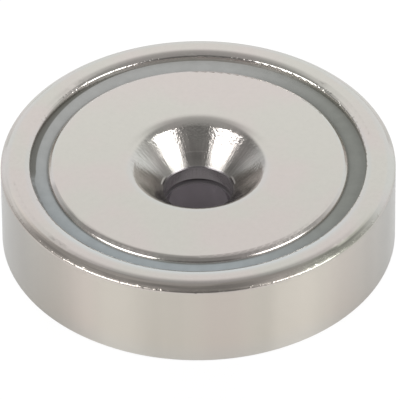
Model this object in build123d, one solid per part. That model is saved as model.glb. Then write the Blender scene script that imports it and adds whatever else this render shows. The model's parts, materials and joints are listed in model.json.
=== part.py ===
from build123d import *
import math
import os

# Countersunk pot magnet for an M5 screw, in millimetres.
# A nickel-plated steel cup holds a nickel-plated ring magnet in a ring of cast resin.
# The origin is the centre of the cup's back face, and +Z runs along the screw axis, out of the magnet.
# Every piece is turned about Z from a half section: x is the radius and y the height above the back face.

# Steel cup
POT_DIAMETER = 32.0
POT_HEIGHT = 7.8
WALL_THICKNESS = 2.4
FLOOR_THICKNESS = 3.1
RIM_BEVEL_WIDTH = 0.69        # outside bevel: across the rim
RIM_BEVEL_DEPTH = 0.56        # and down the side of the cup
RIM_BEVEL_TOP_RADIUS = 0.97
RIM_BEVEL_SIDE_RADIUS = 0.22
LIP_BEVEL_WIDTH = 0.47        # bevel towards the magnet: across the rim
LIP_BEVEL_DEPTH = 0.3         # and down the wall of the cavity
LIP_BEVEL_TOP_RADIUS = 0.9
LIP_BEVEL_WALL_RADIUS = 0.27
BACK_EDGE_CHAMFER = 0.2
SCREW_HOLE_DIAMETER = 5.5
HOLE_CHAMFER = 0.2            # where the screw hole leaves the back face

# Ring magnet
RESIN_GAP = 1.41              # from the magnet to the cup's wall, filled with resin
MAGNET_RECESS = 0.33          # from the rim down to the magnet's face
MAGNET_BEVEL_WIDTH = 0.42     # outside bevel: across the face
MAGNET_BEVEL_DEPTH = 0.34     # and down the side of the magnet
MAGNET_BEVEL_TOP_RADIUS = 0.41
MAGNET_BEVEL_SIDE_RADIUS = 0.3
BORE_CLEARANCE = 0.05         # the bore stands back from the screw hole by this much all round
BORE_CHAMFER = 0.35           # where the bore meets the cup's floor
COUNTERSINK_DIAMETER = 11.3   # at the magnet's face, before the mouth is rounded
COUNTERSINK_ANGLE = 90.0
COUNTERSINK_MOUTH_RADIUS = 1.5

# Cast resin, which has shrunk down from the wall towards the magnet
RESIN_RECESS_AT_WALL = 0.7    # both from the rim down
RESIN_RECESS_AT_MAGNET = 0.8

pot_r = POT_DIAMETER / 2
cavity_r = pot_r - WALL_THICKNESS
hole_r = SCREW_HOLE_DIAMETER / 2
magnet_r = cavity_r - RESIN_GAP
magnet_face_z = POT_HEIGHT - MAGNET_RECESS
bore_r = hole_r + BORE_CLEARANCE
countersink_r = COUNTERSINK_DIAMETER / 2
countersink_depth = (countersink_r - bore_r) / math.tan(math.radians(COUNTERSINK_ANGLE / 2))


def turned(*corners):
    """Solid of revolution about Z of the half section through (radius, height, corner rounding)."""
    points = [(r, z) for r, z, _ in corners]
    roundings = [rounding for _, _, rounding in corners]
    section = make_face(FilletPolyline(*points, radius=roundings, close=True))
    return revolve(Plane.XZ * section, Axis.Z)


def pot():
    return turned(
        (hole_r, HOLE_CHAMFER, 0),
        (hole_r + HOLE_CHAMFER, 0, 0),
        (pot_r - BACK_EDGE_CHAMFER, 0, 0),
        (pot_r, BACK_EDGE_CHAMFER, 0),
        (pot_r, POT_HEIGHT - RIM_BEVEL_DEPTH, RIM_BEVEL_SIDE_RADIUS),
        (pot_r - RIM_BEVEL_WIDTH, POT_HEIGHT, RIM_BEVEL_TOP_RADIUS),
        (cavity_r + LIP_BEVEL_WIDTH, POT_HEIGHT, LIP_BEVEL_TOP_RADIUS),
        (cavity_r, POT_HEIGHT - LIP_BEVEL_DEPTH, LIP_BEVEL_WALL_RADIUS),
        (cavity_r, FLOOR_THICKNESS, 0),
        (hole_r, FLOOR_THICKNESS, 0),
    )


def ring_magnet():
    return turned(
        (bore_r + BORE_CHAMFER, FLOOR_THICKNESS, 0),
        (magnet_r, FLOOR_THICKNESS, 0),
        (magnet_r, magnet_face_z - MAGNET_BEVEL_DEPTH, MAGNET_BEVEL_SIDE_RADIUS),
        (magnet_r - MAGNET_BEVEL_WIDTH, magnet_face_z, MAGNET_BEVEL_TOP_RADIUS),
        (countersink_r, magnet_face_z, COUNTERSINK_MOUTH_RADIUS),
        (bore_r, magnet_face_z - countersink_depth, 0),
        (bore_r, FLOOR_THICKNESS + BORE_CHAMFER, 0),
    )


def resin_ring():
    """Fills the gap between magnet and wall down to the cup's floor."""
    return turned(
        (magnet_r, FLOOR_THICKNESS, 0),
        (cavity_r, FLOOR_THICKNESS, 0),
        (cavity_r, POT_HEIGHT - RESIN_RECESS_AT_WALL, 0),
        (magnet_r, POT_HEIGHT - RESIN_RECESS_AT_MAGNET, 0),
    )


os.makedirs("parts", exist_ok=True)
export_step(pot(), "parts/pot.step")
export_step(ring_magnet(), "parts/ring_magnet.step")
export_step(resin_ring(), "parts/resin_ring.step")
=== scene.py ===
import json
import math

import bpy
from mathutils import Matrix, Vector


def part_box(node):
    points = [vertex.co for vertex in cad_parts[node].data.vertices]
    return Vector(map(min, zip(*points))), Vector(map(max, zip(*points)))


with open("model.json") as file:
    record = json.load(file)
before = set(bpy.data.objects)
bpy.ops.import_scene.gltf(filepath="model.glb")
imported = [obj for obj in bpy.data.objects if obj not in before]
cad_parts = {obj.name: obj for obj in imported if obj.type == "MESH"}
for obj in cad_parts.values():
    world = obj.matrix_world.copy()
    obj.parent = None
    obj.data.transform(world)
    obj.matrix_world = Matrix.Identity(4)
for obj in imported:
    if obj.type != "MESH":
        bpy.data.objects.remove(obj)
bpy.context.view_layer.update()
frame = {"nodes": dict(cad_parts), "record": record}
nodes = frame["nodes"]
mounts = {mount["name"]: mount for mount in frame["record"]["mounts"]}

# Sizes in millimetres, taken from the frame. The materials work in millimetres about the magnet's axis.
MM = 0.001
CUP_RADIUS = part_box("pot")[1].x / MM
CUP_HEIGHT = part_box("pot")[1].z / MM
CAVITY_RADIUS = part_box("resin_ring")[1].x / MM
MAGNET_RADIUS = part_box("ring_magnet")[1].x / MM
MAGNET_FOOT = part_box("ring_magnet")[0].z / MM
HOLE_RADIUS = mounts["screw_hole"]["dims"]["r_mm"]

WHITE = (1.0, 1.0, 1.0)


class Graph:
    """One node tree, with short calls for the nodes that are used here. A mask is a level from 0 to 1."""

    def __init__(self, tree):
        self.tree = tree
        tree.nodes.clear()

    def add(self, kind, inputs=None, **settings):
        """Adds a node. An input is a number, a colour or another node's output."""
        made = self.tree.nodes.new("ShaderNode" + kind)
        for name, value in settings.items():
            setattr(made, name, value)
        for key, value in (inputs or {}).items():
            self.feed(made.inputs[key], value)
        return made

    def feed(self, socket, value):
        if isinstance(value, bpy.types.NodeSocket):
            self.tree.links.new(value, socket)
        elif socket.type == "RGBA":
            socket.default_value = (*value, 1)
        else:
            socket.default_value = value

    def math(self, operation, *values):
        made = self.add("Math", dict(enumerate(values)), operation=operation)
        return made.outputs[0]

    def ramp(self, value, start, end, low=0.0, high=1.0):
        """Goes smoothly from low to high while the value goes from start to end."""
        inputs = {"Value": value, "From Min": start, "From Max": end, "To Min": low, "To Max": high}
        return self.add("MapRange", inputs, interpolation_type="SMOOTHSTEP").outputs[0]

    def band(self, value, start, end, edge):
        """Is 1 between start and end and falls smoothly to 0 over the edge's width at both."""
        rise = self.ramp(value, start - edge / 2, start + edge / 2)
        fall = self.ramp(value, end + edge / 2, end - edge / 2)
        return self.both(rise, fall)

    def both(self, first, second):
        return self.math("MULTIPLY", first, second)

    def either(self, first, second):
        return self.math("MAXIMUM", first, second)

    def fade(self, mask, level):
        """Goes from 1 where the mask is 0 to the level where the mask is 1."""
        return self.ramp(mask, 0.0, 1.0, 1.0, level)

    def mix(self, factor, first, second):
        made = self.add("Mix", {0: factor, 6: first, 7: second}, data_type="RGBA")
        return made.outputs[2]

    def multiply(self, first, second):
        """Multiplies two colours."""
        inputs = {0: 1.0, 6: first, 7: second}
        return self.add("Mix", inputs, data_type="RGBA", blend_type="MULTIPLY").outputs[2]

    def tint(self, colour, level):
        """Multiplies a colour by a grey level."""
        return self.multiply(colour, self.add("CombineColor", {0: level, 1: level, 2: level}).outputs[0])

    def combine(self, x, y, z):
        return self.add("CombineXYZ", {0: x, 1: y, 2: z}).outputs[0]

    def scale(self, vector, factor):
        return self.add("VectorMath", {0: vector, "Scale": factor}, operation="SCALE").outputs[0]

    def noise(self, vector, scale, detail=2.0, roughness=0.5):
        inputs = {"Vector": vector, "Scale": scale, "Detail": detail, "Roughness": roughness}
        return self.add("TexNoise", inputs).outputs[0]

    def levels(self, value, stops):
        """A grey level that goes straight from stop to stop; the value runs from 0 to 1."""
        made = self.add("ValToRGB", {0: value})
        elements = made.color_ramp.elements
        while len(elements) < len(stops):
            elements.new(0.5)
        for element, (place, level) in zip(elements, stops):
            element.position = place
            element.color = (level, level, level, 1)
        return made.outputs[0]


class Turned:
    """A material's coordinates about the magnet's axis, in millimetres, and in degrees from the front."""

    def __init__(self, graph):
        self.graph = graph
        self.place = graph.scale(graph.add("TexCoord").outputs["Object"], 1 / MM)
        parts = graph.add("SeparateXYZ", {0: self.place})
        x = parts.outputs[0]
        self.back = parts.outputs[1]
        self.height = parts.outputs[2]
        flat = graph.combine(x, self.back, 0.0)
        self.radius = graph.add("VectorMath", {0: flat}, operation="LENGTH").outputs["Value"]
        self.around = graph.add("VectorMath", {0: flat}, operation="NORMALIZE").outputs[0]
        front = graph.math("MULTIPLY", self.back, -1.0)
        self.angle = graph.math("DEGREES", graph.math("ARCTAN2", x, front))
        facing = graph.add("SeparateXYZ", {0: graph.add("NewGeometry").outputs["Normal"]})
        self.upward = facing.outputs[2]

    def by_radius(self, radius, span, low=0.0, high=1.0):
        """Goes from low to high over a span that is counted outwards from a radius."""
        return self.graph.ramp(self.radius, radius + span[0], radius + span[1], low, high)

    def by_height(self, height, span, low=0.0, high=1.0):
        """Goes from low to high over a span that is counted upwards from a height."""
        return self.graph.ramp(self.height, height + span[0], height + span[1], low, high)

    def by_back(self, span, low=0.0, high=1.0):
        return self.graph.ramp(self.back, *span, low, high)

    def by_angle(self, span, low=0.0, high=1.0):
        return self.graph.ramp(self.angle, *span, low, high)

    def radius_band(self, radius, span, edge):
        """Is 1 within a span that is counted outwards from a radius."""
        return self.graph.band(self.radius, radius + span[0], radius + span[1], edge)


def new_material(name):
    material = bpy.data.materials.new(name)
    material.use_nodes = True
    return material, Graph(material.node_tree)


def finish_material(graph, shader):
    graph.add("OutputMaterial", {"Surface": shader.outputs[0]})


def bumped(graph, height, depth, strength, normal=None):
    """The normal of a surface whose height, from 0 to 1, stands for a depth in millimetres."""
    inputs = {"Height": height, "Distance": depth * MM, "Strength": strength}
    if normal is not None:
        inputs["Normal"] = normal
    return graph.add("Bump", inputs).outputs[0]


# The materials' sizes. A colour is a linear reflectance. A pair is (from, to): the look comes in on the
# way from the first to the second, or, where its EDGE is named too, it fills the room between them and
# fades over that width at both. RADII and HEIGHTS are millimetres outside and above a size of the frame,
# BACK is millimetres from the axis towards the back, and ANGLES are degrees from the front, positive to
# the right. A DEPTH is that of a bump, in millimetres. A SCALE is a noise's cells per millimetre, and
# LEVELS are the noise values at which its two looks are full. TINTS multiply a colour.
SMOOTH = 1.0                    # a noise's detail
FINE = 3.0

# Nickel, on the cup and the magnet
NICKEL_ROSE = (0.660, 0.609, 0.579)
NICKEL_GREEN = (0.640, 0.624, 0.576)
PATCH_LEVELS = (0.38, 0.62)
GRAIN_LEVELS = (0.2, 0.8)
DENT_DEPTH = 0.008


def nickel(graph, turned, radius, patch_scale, grain_scale, grain_tints, front_shade_tints):
    """Nickel with faint rose and green patches and a fine grain, with painted shade that makes it a
    little darker towards the front.
    """
    patches = graph.ramp(graph.noise(turned.place, patch_scale), *PATCH_LEVELS)
    colour = graph.mix(patches, NICKEL_GREEN, NICKEL_ROSE)
    grain = graph.noise(turned.place, grain_scale)
    colour = graph.tint(colour, graph.ramp(grain, *GRAIN_LEVELS, *grain_tints))
    # Painted shade: the nickel is a little darker towards the front.
    return graph.tint(colour, turned.by_back((-radius, radius), *front_shade_tints))


# The cup
CUP_PATCH_SCALE = 0.16
CUP_GRAIN_SCALE = 3.0
CUP_GRAIN_TINTS = (0.985, 1.015)
# The last pair is painted shade, darker towards the front.
CUP_FRONT_SHADE_TINTS = (0.94, 1.0)

# The cup's wall
WALL_RADII = (-0.3, -0.05)
WALL_HEIGHTS = (-0.5, -0.9)
WALL_WARM = (0.618, 0.580, 0.520)
WALL_ROSE = (0.642, 0.584, 0.532)
WALL_COOL = (0.600, 0.588, 0.560)
WALL_PATCH_SCALE = 2.0          # this and the stripes' scale are cells per radius, around the wall
WALL_PATCH_LEVELS = (0.4, 0.6)
WALL_COOL_ANGLES = (32.0, 80.0)
WALL_COOL_HEIGHTS = (2.4, 0.0)  # above the back face
WALL_COOL_AT_FOOT = 0.6
# The stripes are painted reflection: upright bands of lighter and darker tone.
STRIPE_SCALE = 5.3
STRIPE_LEVELS = (0.3, 0.7)
STRIPE_TINTS = (0.975, 1.025)
# Painted shade on the wall's left side.
WALL_LEFT_SHADE_ANGLES = (-22.0, -8.0)
WALL_LEFT_SHADE_TINTS = (0.93, 1.0)

# The lip of the cup's rim, in front, with a cool and slightly pale painted reflection
LIP_REFLECTION = (0.622, 0.628, 0.608)
LIP_REFLECTION_RADII = (1.1, 0.5)
LIP_REFLECTION_BACK = (-4.0, -12.0)

# The rim's outer edge: wear rings, with a painted highlight right of the front and painted shade further
# right
WEAR_AND_LIGHT_RADII = (-0.7, -0.5)
WEAR_AND_LIGHT_HEIGHTS = (-0.8, -0.5)
WEAR_AND_LIGHT_ANGLES = (-80.0, 60.0)
WEAR_AND_LIGHT_ANGLE_EDGE = 16.0
WORN_BROWN = (0.640, 0.585, 0.535)
WORN_OLIVE = (0.580, 0.575, 0.500)
WORN_OLIVE_ANGLES = (24.0, 38.0)
# Painted highlight, from just right of the front
RIM_EDGE_HIGHLIGHT_ANGLES = (4.0, 18.0)
RIM_EDGE_HIGHLIGHT_TINTS = (1.0, 1.12)
# Painted shade, further to the right
RIM_EDGE_SHADE_ANGLES = (32.0, 46.0)
RIM_EDGE_SHADE_TINTS = (1.0, 0.82)
WEAR_SCALE = 3.5
WEAR_PER_DEGREE = 0.01          # the worn rings change slowly around the edge
WEAR_LEVELS = (0.4, 0.6)
WEAR_TINTS = (0.82, 1.04)

# The wall of the cavity, where the resin ends, darkened with painted shade
CAVITY_OUTER_RADII = (0.12, 0.02)
CAVITY_INNER_RADII = (-0.2, -0.1)
CAVITY_SHADE_TINT = 0.9

# The screw hole, painted grey as shade
HOLE_SHADE = (0.37, 0.335, 0.36)
HOLE_RADII = (0.4, 0.1)
HOLE_METALLIC = 0.8

# The joint between the magnet and the cup's floor, which shows in the screw hole
JOINT_SHADE = (0.24, 0.222, 0.232)
JOINT_METALLIC = 0.4
LEDGE_RADII = (1.0, 0.6)
LEDGE_HEIGHTS = (-0.15, -0.05)

# The dents and nicks of the rim
DENT_OUTER_RADII = (-1.0, -0.5)
DENT_INNER_RADII = (0.5, 0.2)
DENT_HEIGHTS = (-1.2, -0.6)
DENT_SCALE = 1.3
DENTS_ELSEWHERE = 0.2
NICK_OUTER_RADII = (-0.25, -0.08)
NICK_INNER_RADII = (0.35, 0.2)
NICK_HEIGHTS = (-1.0, -0.7)
NICK_SCALE = 2.6
NICK_LEVELS = (0.55, 0.75)
NICK_DEPTH = 0.014

# The cup's roughness, which is higher along the foot of the rim's outer bevel
CUP_SHEEN_SCALE = 0.5
CUP_SHEEN_LEVELS = (0.3, 0.7)
CUP_ROUGHNESS = (0.12, 0.16)
BEVEL_FOOT_RADII = (-0.3, -0.12)
BEVEL_FOOT_HEIGHTS = (-1.0, -0.8)
BEVEL_FOOT_ROUGHNESS = 0.24


def wall_colour(graph, turned):
    """The cup's wall: warm with rose patches and cooler at the sides and the foot, with upright stripes
    of painted reflection and painted shade on its left side.
    """
    patches = graph.ramp(graph.noise(turned.around, WALL_PATCH_SCALE), *WALL_PATCH_LEVELS)
    colour = graph.mix(patches, WALL_WARM, WALL_ROSE)
    sides = graph.ramp(graph.math("ABSOLUTE", turned.angle), *WALL_COOL_ANGLES)
    foot = turned.by_height(0.0, WALL_COOL_HEIGHTS, 0.0, WALL_COOL_AT_FOOT)
    colour = graph.mix(graph.either(sides, foot), colour, WALL_COOL)
    # Painted reflection: upright bands of lighter and darker tone.
    stripes = graph.noise(turned.around, STRIPE_SCALE, FINE)
    colour = graph.tint(colour, graph.ramp(stripes, *STRIPE_LEVELS, *STRIPE_TINTS))
    # Painted shade: the wall's left side is darker.
    return graph.tint(colour, turned.by_angle(WALL_LEFT_SHADE_ANGLES, *WALL_LEFT_SHADE_TINTS))


def wear_and_light_colour(graph, turned):
    """The cup's outer edge: fine wear rings, brown on the left and in front, olive on the right, with a
    painted highlight right of the front and painted shade further right.
    """
    colour = graph.mix(turned.by_angle(WORN_OLIVE_ANGLES), WORN_BROWN, WORN_OLIVE)
    # Painted highlight right of the front, and painted shade further right.
    colour = graph.tint(colour, turned.by_angle(RIM_EDGE_HIGHLIGHT_ANGLES, *RIM_EDGE_HIGHLIGHT_TINTS))
    colour = graph.tint(colour, turned.by_angle(RIM_EDGE_SHADE_ANGLES, *RIM_EDGE_SHADE_TINTS))
    around = graph.math("MULTIPLY", turned.angle, WEAR_PER_DEGREE)
    wear = graph.noise(graph.combine(turned.radius, turned.height, around), WEAR_SCALE, SMOOTH)
    return graph.tint(colour, graph.ramp(wear, *WEAR_LEVELS, *WEAR_TINTS))


def cup_normal(graph, turned):
    """Shallow dents, mostly on the rim's rounded edges, and small nicks at its two corners."""
    edge = graph.either(turned.by_radius(CUP_RADIUS, DENT_OUTER_RADII),
                        turned.by_radius(CAVITY_RADIUS, DENT_INNER_RADII))
    edge = graph.both(edge, turned.by_height(CUP_HEIGHT, DENT_HEIGHTS))
    dents = graph.noise(turned.place, DENT_SCALE, FINE)
    normal = bumped(graph, dents, DENT_DEPTH, graph.ramp(edge, 0.0, 1.0, DENTS_ELSEWHERE, 1.0))
    corner = graph.either(turned.by_radius(CUP_RADIUS, NICK_OUTER_RADII),
                          turned.by_radius(CAVITY_RADIUS, NICK_INNER_RADII))
    corner = graph.both(corner, turned.by_height(CUP_HEIGHT, NICK_HEIGHTS))
    nicks = graph.ramp(graph.noise(turned.place, NICK_SCALE, SMOOTH), *NICK_LEVELS)
    return bumped(graph, nicks, NICK_DEPTH, corner, normal)


def cup_material():
    """Satin nickel with a warm striped wall, a rim with wear and nicks, painted light and shade on
    several parts and a screw hole painted grey as shade.
    """
    material, graph = new_material("cup_plating")
    turned = Turned(graph)
    colour = nickel(graph, turned, CUP_RADIUS, CUP_PATCH_SCALE, CUP_GRAIN_SCALE,
                    CUP_GRAIN_TINTS, CUP_FRONT_SHADE_TINTS)

    wall = graph.both(turned.by_radius(CUP_RADIUS, WALL_RADII),
                      turned.by_height(CUP_HEIGHT, WALL_HEIGHTS))
    colour = graph.mix(wall, colour, wall_colour(graph, turned))
    # Painted reflection: a cool, slightly pale tone on the lip in front.
    lip = graph.both(turned.by_radius(CAVITY_RADIUS, LIP_REFLECTION_RADII), turned.by_back(LIP_REFLECTION_BACK))
    colour = graph.mix(lip, colour, LIP_REFLECTION)
    wear_and_light = graph.both(turned.by_radius(CUP_RADIUS, WEAR_AND_LIGHT_RADII),
                      turned.by_height(CUP_HEIGHT, WEAR_AND_LIGHT_HEIGHTS))
    wear_and_light = graph.both(wear_and_light, graph.band(turned.angle, *WEAR_AND_LIGHT_ANGLES, WEAR_AND_LIGHT_ANGLE_EDGE))
    # Wear rings and tones, with painted highlight and painted shade on the outer edge.
    colour = graph.mix(wear_and_light, colour, wear_and_light_colour(graph, turned))
    cavity = graph.both(turned.by_radius(CAVITY_RADIUS, CAVITY_OUTER_RADII),
                        turned.by_radius(CAVITY_RADIUS, CAVITY_INNER_RADII))
    # Painted shade where the cavity's wall meets the resin.
    colour = graph.tint(colour, graph.fade(cavity, CAVITY_SHADE_TINT))
    # Painted shade: the screw hole is grey.
    hole = turned.by_radius(HOLE_RADIUS, HOLE_RADII)
    colour = graph.mix(hole, colour, HOLE_SHADE)
    ledge = graph.both(turned.by_radius(HOLE_RADIUS, LEDGE_RADII),
                       turned.by_height(MAGNET_FOOT, LEDGE_HEIGHTS))
    colour = graph.mix(ledge, colour, JOINT_SHADE)

    sheen = graph.ramp(graph.noise(turned.place, CUP_SHEEN_SCALE), *CUP_SHEEN_LEVELS, *CUP_ROUGHNESS)
    bevel_foot = graph.both(turned.by_radius(CUP_RADIUS, BEVEL_FOOT_RADII),
                            turned.by_height(CUP_HEIGHT, BEVEL_FOOT_HEIGHTS))
    roughness = graph.math("MAXIMUM", sheen, graph.math("MULTIPLY", bevel_foot, BEVEL_FOOT_ROUGHNESS))
    metallic = graph.math("MULTIPLY", graph.fade(hole, HOLE_METALLIC), graph.fade(ledge, JOINT_METALLIC))
    inputs = {"Base Color": colour, "Metallic": metallic, "Roughness": roughness}
    inputs["Normal"] = cup_normal(graph, turned)
    finish_material(graph, graph.add("BsdfPrincipled", inputs))
    return material


# The magnet
MAGNET_PATCH_SCALE = 0.13
MAGNET_GRAIN_SCALE = 2.5
MAGNET_GRAIN_TINTS = (0.992, 1.008)
# The last pair is painted shade, darker towards the front.
MAGNET_FRONT_SHADE_TINTS = (0.95, 1.01)

# The countersink. It is told from the face by how far it faces up, 0.71 against 1, and from the outer
# bevel by the radius.
CONE_UPWARD = (0.90, 0.78)
CONE_END = (0.6 * MAGNET_RADIUS, 0.55 * MAGNET_RADIUS)
STREAKS_AROUND = 14.0           # the streaks' noise changes fast around the cone and slowly down it
STREAKS_DOWN = 0.5
STREAK_SCALE = 2.2
STREAK_ROUGHNESS = 0.6
STREAK_LEVELS = (0.35, 0.65)
STREAK_TINTS = (0.86, 1.02)
STREAK_ANGLES = (150.0, 110.0)
STREAK_DEPTH = 0.009
# Painted shade on the countersink's right side
CONE_SHADE_ANGLES = (85.0, 135.0)
CONE_SHADE_ANGLE_EDGE = 30.0
CONE_SHADE_TINT = 0.68
CONE_FOOT_RADII = (0.0, 1.6)
# Painted shade towards the bore
CONE_FOOT_SHADE_TINTS = (0.58, 1.0)
TOOL_RING_RADIUS = 3.74         # a faint turned line at the countersink's far side, painted lighter there as a highlight
TOOL_RING_RADII = (-0.03, 0.03)
TOOL_RING_RADIUS_EDGE = 0.05
TOOL_RING_BACK = (0.8 * TOOL_RING_RADIUS, TOOL_RING_RADIUS)
TOOL_RING_HIGHLIGHT_TINT = 1.2

# The bore, darkened with painted shade
BORE_SHADE = (0.50, 0.47, 0.475)
BORE_RADII = (0.2, 0.1)
CORNER_RADII = (0.14, 0.11)     # where the countersink turns into the bore
CORNER_UPWARD = (0.02, 0.12)
# Painted shade where the countersink turns into the bore
CORNER_SHADE_TINT = 0.5
JOINT_HEIGHTS = (0.45, 0.25)

# The bevel
PAINTED_LIGHT_RADII = (-0.44, -0.31)   # its upper corner, made matt and pale at the back as painted light
PAINTED_LIGHT_RADIUS_EDGE = 0.04
PAINTED_LIGHT_BACK = (3.0, 8.0)
PAINTED_LIGHT_TINT = 1.25
PAINTED_LIGHT_METALLIC = 0.1
BEVEL_SHADE_ANGLES = (-78.0, -56.0)    # a stretch of it on the left, darkened with painted shade
BEVEL_SHADE_ANGLE_EDGE = 8.0
BEVEL_SHADE_RADII = (-0.46, -0.38)
BEVEL_SHADE_TINT = 0.72

# The bumps of the bevel, the countersink and the bore's mouth
MAGNET_DENT_RADII = (-0.7, -0.3)
MAGNET_DENT_BACK = (8.0, 3.0)
MAGNET_DENT_SCALE = 1.1
SPECK_RADII = (1.0, 2.4)
SPECK_SCALE = 5.0
SPECK_DEPTH = 0.017
BURR_RADII = (0.16, 0.26)
BURR_RADIUS_EDGE = 0.14
BURR_BACK = (0.5, 1.3)
BURR_BACK_EDGE = 0.5
BURR_DEPTH = 0.08

# The magnet's roughness and how metallic it is
MAGNET_SHEEN_LEVELS = (0.3, 0.7)
MAGNET_ROUGHNESS = (0.13, 0.21)
BORE_METALLIC_RADII = (0.0, 0.8)
BORE_METALLIC = 0.8


def streak_noise(graph, turned):
    """Noise stretched into streaks that run down the countersink."""
    around = graph.scale(turned.around, STREAKS_AROUND)
    down = graph.combine(0.0, 0.0, graph.math("MULTIPLY", turned.radius, STREAKS_DOWN))
    place = graph.add("VectorMath", {0: around, 1: down}, operation="ADD").outputs[0]
    return graph.noise(place, STREAK_SCALE, FINE, STREAK_ROUGHNESS)


def cone_colour(graph, turned, colour, streaks):
    """The countersink: streaked at its sides, with painted shade on the right and towards the bore."""
    sides = graph.ramp(graph.math("ABSOLUTE", turned.angle), *STREAK_ANGLES)
    streaked = graph.tint(colour, graph.ramp(streaks, *STREAK_LEVELS, *STREAK_TINTS))
    colour = graph.mix(sides, colour, streaked)
    # Painted shade on the countersink's right side.
    cone_shade = graph.band(turned.angle, *CONE_SHADE_ANGLES, CONE_SHADE_ANGLE_EDGE)
    colour = graph.tint(colour, graph.fade(cone_shade, CONE_SHADE_TINT))
    # Painted shade towards the bore.
    colour = graph.tint(colour, turned.by_radius(HOLE_RADIUS, CONE_FOOT_RADII, *CONE_FOOT_SHADE_TINTS))
    # The turned line, with a painted highlight at the far side.
    ring = graph.both(turned.radius_band(TOOL_RING_RADIUS, TOOL_RING_RADII, TOOL_RING_RADIUS_EDGE),
                      turned.by_back(TOOL_RING_BACK))
    return graph.tint(colour, graph.fade(ring, TOOL_RING_HIGHLIGHT_TINT))


def magnet_normal(graph, turned, cone, streaks):
    """Shallow dents on the bevel, streaks and specks in the countersink and burrs at the bore's mouth."""
    edge = graph.both(turned.by_radius(MAGNET_RADIUS, MAGNET_DENT_RADII),
                      turned.by_back(MAGNET_DENT_BACK))
    dents = graph.noise(turned.place, MAGNET_DENT_SCALE, FINE)
    normal = bumped(graph, dents, DENT_DEPTH, graph.ramp(edge, 0.0, 1.0))
    normal = bumped(graph, streaks, STREAK_DEPTH, cone, normal)
    specks = graph.noise(turned.place, SPECK_SCALE, SMOOTH)
    specked = graph.both(cone, turned.by_radius(HOLE_RADIUS, SPECK_RADII))
    normal = bumped(graph, specks, SPECK_DEPTH, specked, normal)
    burr = turned.radius_band(HOLE_RADIUS, BURR_RADII, BURR_RADIUS_EDGE)
    burred = graph.band(turned.back, *BURR_BACK, BURR_BACK_EDGE)
    return bumped(graph, burr, BURR_DEPTH, burred, normal)


def magnet_material():
    """Bright nickel: clean on the face, with a streaked countersink, painted shade in the countersink and
    bore, and painted light and shade on the bevel.
    """
    material, graph = new_material("magnet_plating")
    turned = Turned(graph)
    colour = nickel(graph, turned, MAGNET_RADIUS, MAGNET_PATCH_SCALE, MAGNET_GRAIN_SCALE,
                    MAGNET_GRAIN_TINTS, MAGNET_FRONT_SHADE_TINTS)

    inside = graph.ramp(turned.radius, *CONE_END)
    cone = graph.both(graph.ramp(turned.upward, *CONE_UPWARD), inside)
    streaks = streak_noise(graph, turned)
    colour = graph.mix(cone, colour, cone_colour(graph, turned, colour, streaks))
    # Painted shade: the bore is grey.
    colour = graph.mix(turned.by_radius(HOLE_RADIUS, BORE_RADII), colour, BORE_SHADE)
    # Painted shade where the countersink turns into the bore.
    corner = graph.both(turned.by_radius(HOLE_RADIUS, CORNER_RADII),
                        graph.ramp(turned.upward, *CORNER_UPWARD))
    colour = graph.tint(colour, graph.fade(corner, CORNER_SHADE_TINT))
    joint = turned.by_height(MAGNET_FOOT, JOINT_HEIGHTS)
    colour = graph.mix(joint, colour, JOINT_SHADE)
    # Painted light: the bevel's upper corner is pale and matt at the back.
    painted_light = graph.both(turned.radius_band(MAGNET_RADIUS, PAINTED_LIGHT_RADII, PAINTED_LIGHT_RADIUS_EDGE),
                        turned.by_back(PAINTED_LIGHT_BACK))
    colour = graph.tint(colour, graph.fade(painted_light, PAINTED_LIGHT_TINT))
    # Painted shade on a stretch of the bevel on the left.
    bevel_shade = graph.both(graph.band(turned.angle, *BEVEL_SHADE_ANGLES, BEVEL_SHADE_ANGLE_EDGE),
                      turned.by_radius(MAGNET_RADIUS, BEVEL_SHADE_RADII))
    colour = graph.tint(colour, graph.fade(bevel_shade, BEVEL_SHADE_TINT))

    roughness = graph.ramp(streaks, *MAGNET_SHEEN_LEVELS, *MAGNET_ROUGHNESS)
    metallic = turned.by_radius(HOLE_RADIUS, BORE_METALLIC_RADII, BORE_METALLIC, 1.0)
    # Painted light: the bevel's upper corner is less metallic at the back.
    metallic = graph.math("MULTIPLY", metallic, graph.fade(painted_light, PAINTED_LIGHT_METALLIC))
    metallic = graph.math("MULTIPLY", metallic, graph.fade(joint, JOINT_METALLIC))
    inputs = {"Base Color": colour, "Metallic": metallic, "Roughness": roughness}
    inputs["Normal"] = magnet_normal(graph, turned, cone, streaks)
    finish_material(graph, graph.add("BsdfPrincipled", inputs))
    return material


# The resin. FRONT and RIGHT are how far a place lies to that side of the axis: 1 is straight to it.
RESIN_PALE = (0.372, 0.376, 0.366)
RESIN_BLUE = (0.325, 0.360, 0.375)
RESIN_OLIVE = (0.210, 0.217, 0.196)
RESIN_SHADE = (0.145, 0.144, 0.128)
BLUE_FRONT = (-0.6, 1.0)
OLIVE_RIGHT = (0.1, 1.0)
MOTTLE_SCALE = 1.0
MOTTLE_LEVELS = (0.25, 0.75)
MOTTLE_TINTS = (0.95, 1.05)

# The seam, where the resin has left the cup's wall, is painted shade. It widens from the back to the
# left. There it narrows in a step, and from the step to its end in front it is also fainter.
SEAM_WIDTH = 0.46
SEAM_GROW_ANGLES = (-170.0, -100.0)
SEAM_STEP_ANGLES = (-88.0, -82.0)
SEAM_STEP_SHARE = 0.6           # of the width is left after the step
SEAM_END_ANGLES = (-72.0, -48.0)
SEAM_EDGE = 0.1
SEAM_FAINT_SCALE = 1.8
SEAM_FAINT_LEVELS = (0.35, 0.65)
SEAM_FAINT_SHARES = (0.2, 0.7)

# The shaded edge along the magnet, and the rippled surface
RESIN_FOOT_RADII = (0.16, 0.04)
RESIN_FOOT_SHARE = 0.4
RIPPLE_SCALE = 0.8
RIPPLE_DEPTH = 0.05
RESIN_ROUGHNESS = 0.4


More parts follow.
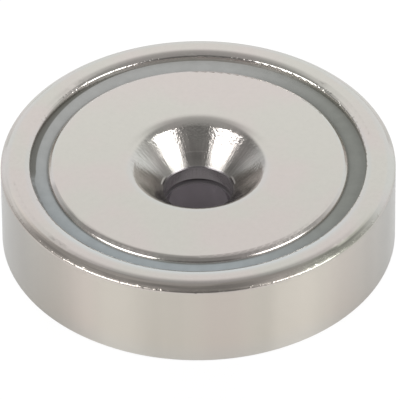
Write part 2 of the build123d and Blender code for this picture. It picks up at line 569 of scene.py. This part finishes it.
def seam_shade_mask(graph, turned):
    """Painted shade in the seam between the resin and the cup's wall, on the left."""
    grown = turned.by_angle(SEAM_GROW_ANGLES, 0.0, SEAM_WIDTH)
    stepped = turned.by_angle(SEAM_STEP_ANGLES, 1.0, SEAM_STEP_SHARE)
    shrunk = graph.math("MULTIPLY", stepped, turned.by_angle(SEAM_END_ANGLES, 1.0, 0.0))
    from_wall = graph.math("SUBTRACT", CAVITY_RADIUS, turned.radius)
    past_seam = graph.math("SUBTRACT", from_wall, graph.math("MULTIPLY", grown, shrunk))
    seam = graph.ramp(past_seam, SEAM_EDGE / 2, -SEAM_EDGE / 2)
    faint = graph.noise(turned.place, SEAM_FAINT_SCALE, FINE)
    faint = graph.ramp(faint, *SEAM_FAINT_LEVELS, *SEAM_FAINT_SHARES)
    lost = graph.math("MULTIPLY", turned.by_angle(SEAM_STEP_ANGLES), graph.math("SUBTRACT", 1.0, faint))
    return graph.both(seam, graph.math("SUBTRACT", 1.0, lost))


def resin_material():
    """Cast resin: bluish at the front, olive on the right, with painted shade for the seam along the
    cup's wall.
    """
    material, graph = new_material("resin")
    turned = Turned(graph)
    across = graph.add("SeparateXYZ", {0: turned.around})
    front = graph.math("MULTIPLY", across.outputs[1], -1.0)
    colour = graph.mix(graph.ramp(front, *BLUE_FRONT), RESIN_PALE, RESIN_BLUE)
    colour = graph.mix(graph.ramp(across.outputs[0], *OLIVE_RIGHT), colour, RESIN_OLIVE)
    mottle = graph.noise(turned.place, MOTTLE_SCALE, FINE)
    colour = graph.tint(colour, graph.ramp(mottle, *MOTTLE_LEVELS, *MOTTLE_TINTS))

    foot = turned.by_radius(MAGNET_RADIUS, RESIN_FOOT_RADII, 0.0, RESIN_FOOT_SHARE)
    # Painted shade in the seam and along the magnet's edge.
    colour = graph.mix(graph.either(seam_shade_mask(graph, turned), foot), colour, RESIN_SHADE)

    normal = bumped(graph, graph.noise(turned.place, RIPPLE_SCALE), RIPPLE_DEPTH, 1.0)
    inputs = {"Base Color": colour, "Roughness": RESIN_ROUGHNESS, "Normal": normal}
    finish_material(graph, graph.add("BsdfPrincipled", inputs))
    return material


def dress(name, material):
    """Gives a CAD node its material and smooth shading."""
    piece = nodes[name]
    piece.data.materials.clear()
    piece.data.materials.append(material)
    for face in piece.data.polygons:
        face.use_smooth = True


dress("pot", cup_material())
dress("ring_magnet", magnet_material())
dress("resin_ring", resin_material())


# The studio: a white backdrop behind, pale sides and a darker space around the camera. A place in it is
# an azimuth from the camera's side (-Y), positive to the right, and an elevation, both in degrees. The
# four sides are brightness levels at elevations.
BACKDROP = ((0, 1.0), (45, 0.97), (51, 0.91), (57, 0.76), (63, 0.65), (69, 0.56), (75, 0.50), (90, 0.43))
LEFT_SIDE = ((0, 0.37), (30, 0.36), (50, 0.34), (60, 0.40), (90, 0.43))
RIGHT_SIDE = ((0, 0.55), (28, 0.52), (42, 0.38), (50, 0.34), (60, 0.40), (90, 0.43))
CAMERA_SIDE = ((0, 0.30), (30, 0.14), (45, 0.17), (51, 0.185), (57, 0.25), (63, 0.30), (70, 0.36),
               (90, 0.43))
ZENITH = 90.0
BACKDROP_EDGE_LEFT = 66.0       # both edges are azimuths from straight behind
BACKDROP_EDGE_RIGHT = 69.0
BACKDROP_EDGE_WIDTH = 30.0
CAMERA_SIDE_AZIMUTHS = (60.0, 15.0)
LEFT_TO_RIGHT_AZIMUTHS = (-30.0, 30.0)
HORIZON_ELEVATIONS = (36.0, 22.0)
HORIZON_TINT = (0.96, 0.99, 1.015)
AMBIENT = (0.57, 0.57, 0.57)


def over_elevation(graph, elevation, stops):
    """The level of one side of the studio at an elevation."""
    share = graph.math("DIVIDE", elevation, ZENITH)
    return graph.levels(share, [(angle / ZENITH, level) for angle, level in stops])


def studio_levels(graph):
    """The studio as the metal mirrors it."""
    direction = graph.add("SeparateXYZ", {0: graph.add("TexCoord").outputs["Generated"]})
    front = graph.math("MULTIPLY", direction.outputs[1], -1.0)
    azimuth = graph.math("DEGREES", graph.math("ARCTAN2", direction.outputs[0], front))
    elevation = graph.math("DEGREES", graph.math("ARCSINE", direction.outputs[2]))
    off_front = graph.math("ABSOLUTE", azimuth)

    left = over_elevation(graph, elevation, LEFT_SIDE)
    right = over_elevation(graph, elevation, RIGHT_SIDE)
    sides = graph.mix(graph.ramp(azimuth, *LEFT_TO_RIGHT_AZIMUTHS), left, right)
    near = over_elevation(graph, elevation, CAMERA_SIDE)
    around = graph.mix(graph.ramp(off_front, *CAMERA_SIDE_AZIMUTHS), sides, near)
    horizon = graph.mix(graph.ramp(elevation, *HORIZON_ELEVATIONS), WHITE, HORIZON_TINT)
    backdrop = graph.multiply(horizon, over_elevation(graph, elevation, BACKDROP))

    edge = graph.ramp(azimuth, -1.0, 1.0, BACKDROP_EDGE_LEFT, BACKDROP_EDGE_RIGHT)
    past_edge = graph.math("SUBTRACT", graph.math("SUBTRACT", 180.0, off_front), edge)
    behind = graph.ramp(past_edge, BACKDROP_EDGE_WIDTH / 2, -BACKDROP_EDGE_WIDTH / 2)
    return graph.mix(behind, around, backdrop)


def studio_world():
    """Metal mirrors the studio, the camera sees white and everything else gets an even light."""
    world = bpy.data.worlds.new("studio")
    bpy.context.scene.world = world
    world.use_nodes = True
    world.cycles.sampling_method = "NONE"
    graph = Graph(world.node_tree)
    rays = graph.add("LightPath")
    mirrored = graph.either(rays.outputs["Is Glossy Ray"], rays.outputs["Is Transmission Ray"])
    light = graph.mix(mirrored, AMBIENT, studio_levels(graph))
    light = graph.mix(rays.outputs["Is Camera Ray"], light, WHITE)
    background = graph.add("Background", {"Color": light})
    graph.add("OutputWorld", {"Surface": background.outputs[0]})


FLOOR_HALF = 3.0                # metres
FLOOR_GLOW_SEEN = 0.92          # SEEN is for the camera, MIRRORED for the metal and PLAIN for the rest
FLOOR_GLOW_MIRRORED = 0.05
FLOOR_MATT_SEEN = (0.08, 0.08, 0.08)
FLOOR_MATT_MIRRORED = (0.82, 0.82, 0.82)
FLOOR_SHEEN = (0.055, 0.055, 0.055)
FLOOR_SHEEN_ROUGHNESS = 0.25
FLOOR_PLAIN = (0.8, 0.8, 0.8)


def floor_material():
    """A satin white floor: white to the camera, with a faint shadow, and pale in the metal."""
    material, graph = new_material("floor")
    material.cycles.emission_sampling = "NONE"
    rays = graph.add("LightPath")
    camera_ray = rays.outputs["Is Camera Ray"]
    shown = graph.either(camera_ray, rays.outputs["Is Glossy Ray"])
    shown = graph.either(shown, rays.outputs["Is Transmission Ray"])
    level = graph.ramp(camera_ray, 0.0, 1.0, FLOOR_GLOW_MIRRORED, FLOOR_GLOW_SEEN)
    glow = graph.add("Emission", {"Strength": level})
    matt_colour = graph.mix(camera_ray, FLOOR_MATT_MIRRORED, FLOOR_MATT_SEEN)
    matt = graph.add("BsdfDiffuse", {"Color": matt_colour})
    sheen = graph.add("BsdfGlossy", {"Color": FLOOR_SHEEN, "Roughness": FLOOR_SHEEN_ROUGHNESS})
    satin = graph.add("AddShader", {0: glow.outputs[0], 1: matt.outputs[0]})
    satin = graph.add("AddShader", {0: satin.outputs[0], 1: sheen.outputs[0]})
    plain = graph.add("BsdfDiffuse", {"Color": FLOOR_PLAIN})
    finish_material(graph, graph.add("MixShader", {0: shown, 1: plain.outputs[0], 2: satin.outputs[0]}))
    return material


def add_floor():
    mesh = bpy.data.meshes.new("floor")
    corners = [(-1, -1), (1, -1), (1, 1), (-1, 1)]
    mesh.from_pydata([(x * FLOOR_HALF, y * FLOOR_HALF, 0) for x, y in corners], [], [(0, 1, 2, 3)])
    mesh.materials.append(floor_material())
    floor = bpy.data.objects.new("floor", mesh)
    bpy.context.scene.collection.objects.link(floor)


LAMP_DISTANCE = 0.6             # metres
LAMP_RADIANCE = 4.5


def softbox(name, azimuth, elevation, half_width, half_height, roll):
    """An area lamp that faces the object. All sizes are angles in degrees, seen from the object."""
    lamp = bpy.data.lights.new(name, "AREA")
    lamp.shape = "RECTANGLE"
    lamp.size = 2 * LAMP_DISTANCE * math.tan(math.radians(half_width))
    lamp.size_y = 2 * LAMP_DISTANCE * math.tan(math.radians(half_height))
    lamp.energy = LAMP_RADIANCE * math.pi * lamp.size * lamp.size_y
    holder = bpy.data.objects.new(name, lamp)
    bpy.context.scene.collection.objects.link(holder)
    turn = math.radians(azimuth)
    rise = math.radians(elevation)
    away = Vector((math.sin(turn) * math.cos(rise), -math.cos(turn) * math.cos(rise), math.sin(rise)))
    facing = away.to_track_quat("Z", "Y").to_matrix().to_4x4()
    spin = Matrix.Rotation(math.radians(roll), 4, "Z")
    holder.matrix_world = Matrix.Translation(away * LAMP_DISTANCE) @ facing @ spin


studio_world()
add_floor()
softbox("softbox_left", azimuth=-55.0, elevation=31.5, half_width=18.5, half_height=13.3, roll=19.0)
softbox("softbox_right", azimuth=62.5, elevation=32.5, half_width=15.5, half_height=12.0, roll=-12.0)


# The camera stands far off with a long lens. Its distance and its aim are in cup radii. The aim was
# measured at pixel 200, counted from 0, and the picture's middle lies half a pixel before it.
CAMERA_ELEVATION = math.radians(39.86)
CAMERA_ROLL = math.radians(-0.529)
CAMERA_DISTANCE = 40.0
FOCAL_PIXELS = 7875.4
PICTURE_PIXELS = 400
SENSOR_WIDTH = 36.0
AIM_RIGHT = 0.0106
AIM_UP = 0.2161
HALF_PIXEL = 0.5 * CAMERA_DISTANCE / FOCAL_PIXELS
CLIP_START = 0.01               # metres
CLIP_END = 20.0


def add_camera():
    data = bpy.data.cameras.new("camera")
    camera = bpy.data.objects.new("camera", data)
    bpy.context.scene.collection.objects.link(camera)
    radius = CUP_RADIUS * MM
    back = Vector((0, -math.cos(CAMERA_ELEVATION), math.sin(CAMERA_ELEVATION)))
    up = Vector((0, math.sin(CAMERA_ELEVATION), math.cos(CAMERA_ELEVATION)))
    aim = Vector((AIM_RIGHT - HALF_PIXEL, 0, AIM_UP)) + up * HALF_PIXEL
    look = back.to_track_quat("Z", "Y").to_matrix().to_4x4()
    place = Matrix.Translation((aim + back * CAMERA_DISTANCE) * radius)
    camera.matrix_world = place @ look @ Matrix.Rotation(CAMERA_ROLL, 4, "Z")
    data.sensor_width = SENSOR_WIDTH
    data.lens = SENSOR_WIDTH * FOCAL_PIXELS / PICTURE_PIXELS
    data.clip_start = CLIP_START
    data.clip_end = CLIP_END
    bpy.context.scene.camera = camera


add_camera()
bpy.context.scene.view_settings.view_transform = "Standard"
